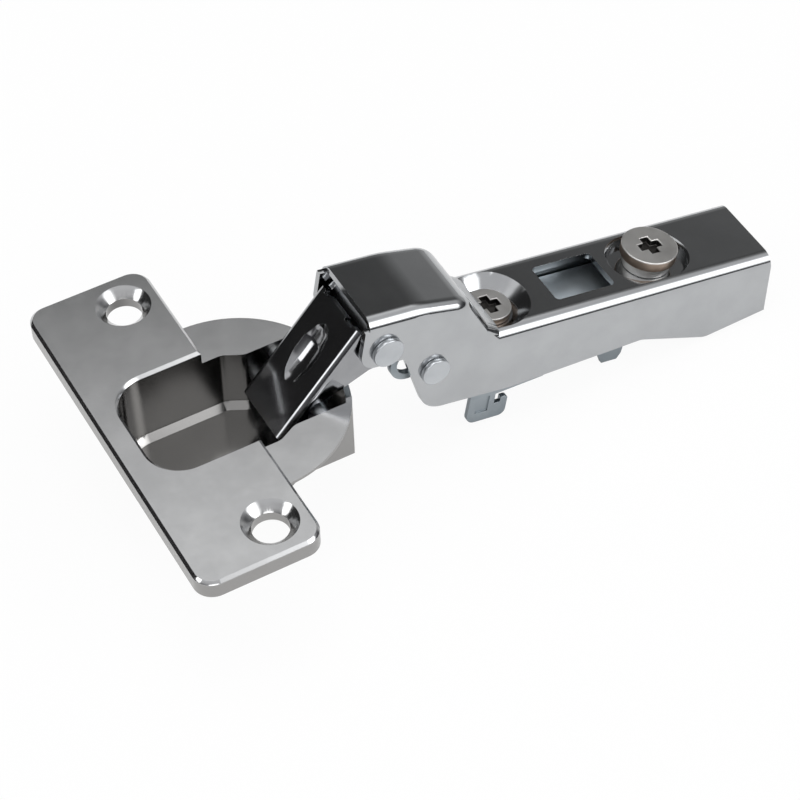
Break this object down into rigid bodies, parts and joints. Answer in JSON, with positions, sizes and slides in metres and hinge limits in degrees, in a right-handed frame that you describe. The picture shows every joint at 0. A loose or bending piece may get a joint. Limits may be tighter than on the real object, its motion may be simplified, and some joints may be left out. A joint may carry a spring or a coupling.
{
  "type": "concealed cup hinge",
  "caption": "Half-overlay concealed furniture hinge: screw-on cup, two links, cranked clip-on arm with side and depth adjusting screws and a rear catch.",
  "frame": {"origin": "centre of the 35 mm cup at the flange's underside, the face that lies on the door", "axes": "+X from the cup along the arm, +Y along the flange, +Z out of the door's inner face; the hinge is open at rest"},
  "size_m": [0.1096, 0.0602, 0.0349],
  "materials": {
    "nickel": "bright nickel plate on pressed steel",
    "zinc": "zinc plated pressed steel",
    "bright_screw": "bright plated turned steel",
    "rivet_steel": "peened plated steel",
    "spring_steel": "hardened strip, lightly oiled"
  },
  "bodies": {
    "cup_body": {"cup": "nickel", "double_pin": "rivet_steel", "closing_spring": "spring_steel"},
    "outer_link_body": {"outer_link": "nickel"},
    "inner_link_body": {"inner_link": "zinc"},
    "arm_body": {"arm": "nickel", "front_rivet": "rivet_steel", "rear_rivet": "rivet_steel"},
    "side_screw_body": {"side_screw": "bright_screw"},
    "plate_body": {"adjusting_plate": "zinc"},
    "cam_body": {"cam_screw": "bright_screw", "cam_disc": "zinc"},
    "carrier_body": {"clip_carrier": "nickel", "catch_pin": "rivet_steel", "catch_spring": "spring_steel"},
    "catch_body": {"catch_lever": "nickel"}
  },
  "joints": [
    {"name": "door_swing", "type": "hinge", "parent": "cup_body", "child": "outer_link_body", "pos_m": [0.0081, 0, -0.00555], "axis": [0, -1, 0], "range_deg": [0, 111.8]},
    {"name": "inner_link_swing", "type": "hinge", "parent": "cup_body", "child": "inner_link_body", "pos_m": [0.0111, 0, -0.0013], "axis": [0, -1, 0], "range_deg": [0, 134.7]},
    {"name": "arm_knuckle", "type": "hinge", "parent": "outer_link_body", "child": "arm_body", "pos_m": [0.0217, 0, 0.0074], "axis": [0, -1, 0], "range_deg": [-11.5, 0]},
    {"name": "side_screw_turn", "type": "hinge", "parent": "arm_body", "child": "side_screw_body", "pos_m": [0.04281, 0, -0.00222], "axis": [0.1805, 0, 0.9836], "range_deg": [-520, 520]},
    {"name": "plate_tilt", "type": "hinge", "parent": "arm_body", "child": "plate_body", "pos_m": [0.07082, 0, -0.01026], "axis": [0, -1, 0], "range_deg": [-2.05, 2.05]},
    {"name": "cam_turn", "type": "hinge", "parent": "arm_body", "child": "cam_body", "pos_m": [0.07118, 0, -0.00661], "axis": [0.1805, 0, 0.9836], "range_deg": [-151, 151]},
    {"name": "carrier_slide", "type": "slide", "parent": "plate_body", "child": "carrier_body", "axis": [0.9836, 0, -0.1805], "range_m": [-0.0012, 0.0012]},
    {"name": "catch_swing", "type": "hinge", "parent": "carrier_body", "child": "catch_body", "pos_m": [0.06021, 0, -0.01268], "axis": [0, -1, 0], "range_deg": [0, 6], "stiffness_Nm_per_rad": 0.1, "springref_deg": -11.46}
  ],
  "couplings": [
    {"joint": "inner_link_swing", "follows": "door_swing", "ratio": 1.2039},
    {"joint": "arm_knuckle", "follows": "door_swing", "ratio": -0.10197},
    {"joint": "plate_tilt", "follows": "side_screw_turn", "ratio": 0.0038462},
    {"joint": "cam_turn", "follows": "carrier_slide", "rad_per_m": 2181.7}
  ]
}
